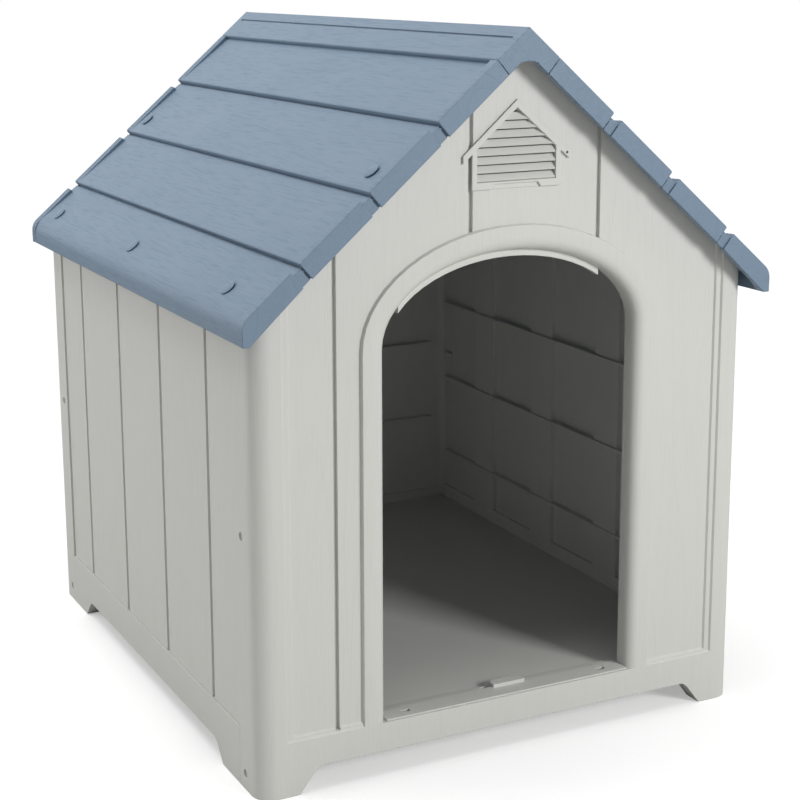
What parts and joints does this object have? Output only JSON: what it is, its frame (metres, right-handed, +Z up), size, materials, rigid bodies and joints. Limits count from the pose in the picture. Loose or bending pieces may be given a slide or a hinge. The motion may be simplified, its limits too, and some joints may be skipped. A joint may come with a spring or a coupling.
{
  "type": "dog house",
  "caption": "Moulded plastic dog house with an arched doorway, boarded walls, corner feet, gable vents and a lapped two-slope roof under a ridge cap.",
  "frame": {"origin": "on the ground, at the middle of the house's outline seen from above", "axes": "+Z up, -Y out of the doorway, +X to the right of someone facing the doorway"},
  "size_m": [0.714, 0.858, 0.89],
  "materials": {
    "wall_plastic": "satin, with a fine moulded wood grain",
    "roof_plastic": "satin, with a moulded wood grain along the boards",
    "screw_steel": "zinc plated"
  },
  "bodies": {
    "root": {"floor_tray": "wall_plastic", "panel_front": "wall_plastic", "panel_rear": "wall_plastic", "panel_left": "wall_plastic", "panel_right": "wall_plastic", "door_sill": "wall_plastic", "vent_front": "wall_plastic", "vent_rear": "wall_plastic", "roof_left": "roof_plastic", "roof_right": "roof_plastic", "ridge_cap": "roof_plastic", "screw_front_left_lower": "screw_steel", "screw_front_left_upper": "screw_steel", "screw_front_right_lower": "screw_steel", "screw_front_right_upper": "screw_steel", "screw_rear_left_lower": "screw_steel", "screw_rear_left_upper": "screw_steel", "screw_rear_right_lower": "screw_steel", "screw_rear_right_upper": "screw_steel", "screw_roof_left_eave_front": "roof_plastic", "screw_roof_left_eave_middle": "roof_plastic", "screw_roof_left_eave_rear": "roof_plastic", "screw_roof_left_gable_front": "roof_plastic", "screw_roof_left_gable_rear": "roof_plastic", "screw_roof_right_eave_front": "roof_plastic", "screw_roof_right_eave_middle": "roof_plastic", "screw_roof_right_eave_rear": "roof_plastic", "screw_roof_right_gable_front": "roof_plastic", "screw_roof_right_gable_rear": "roof_plastic"}
  },
  "joints": []
}
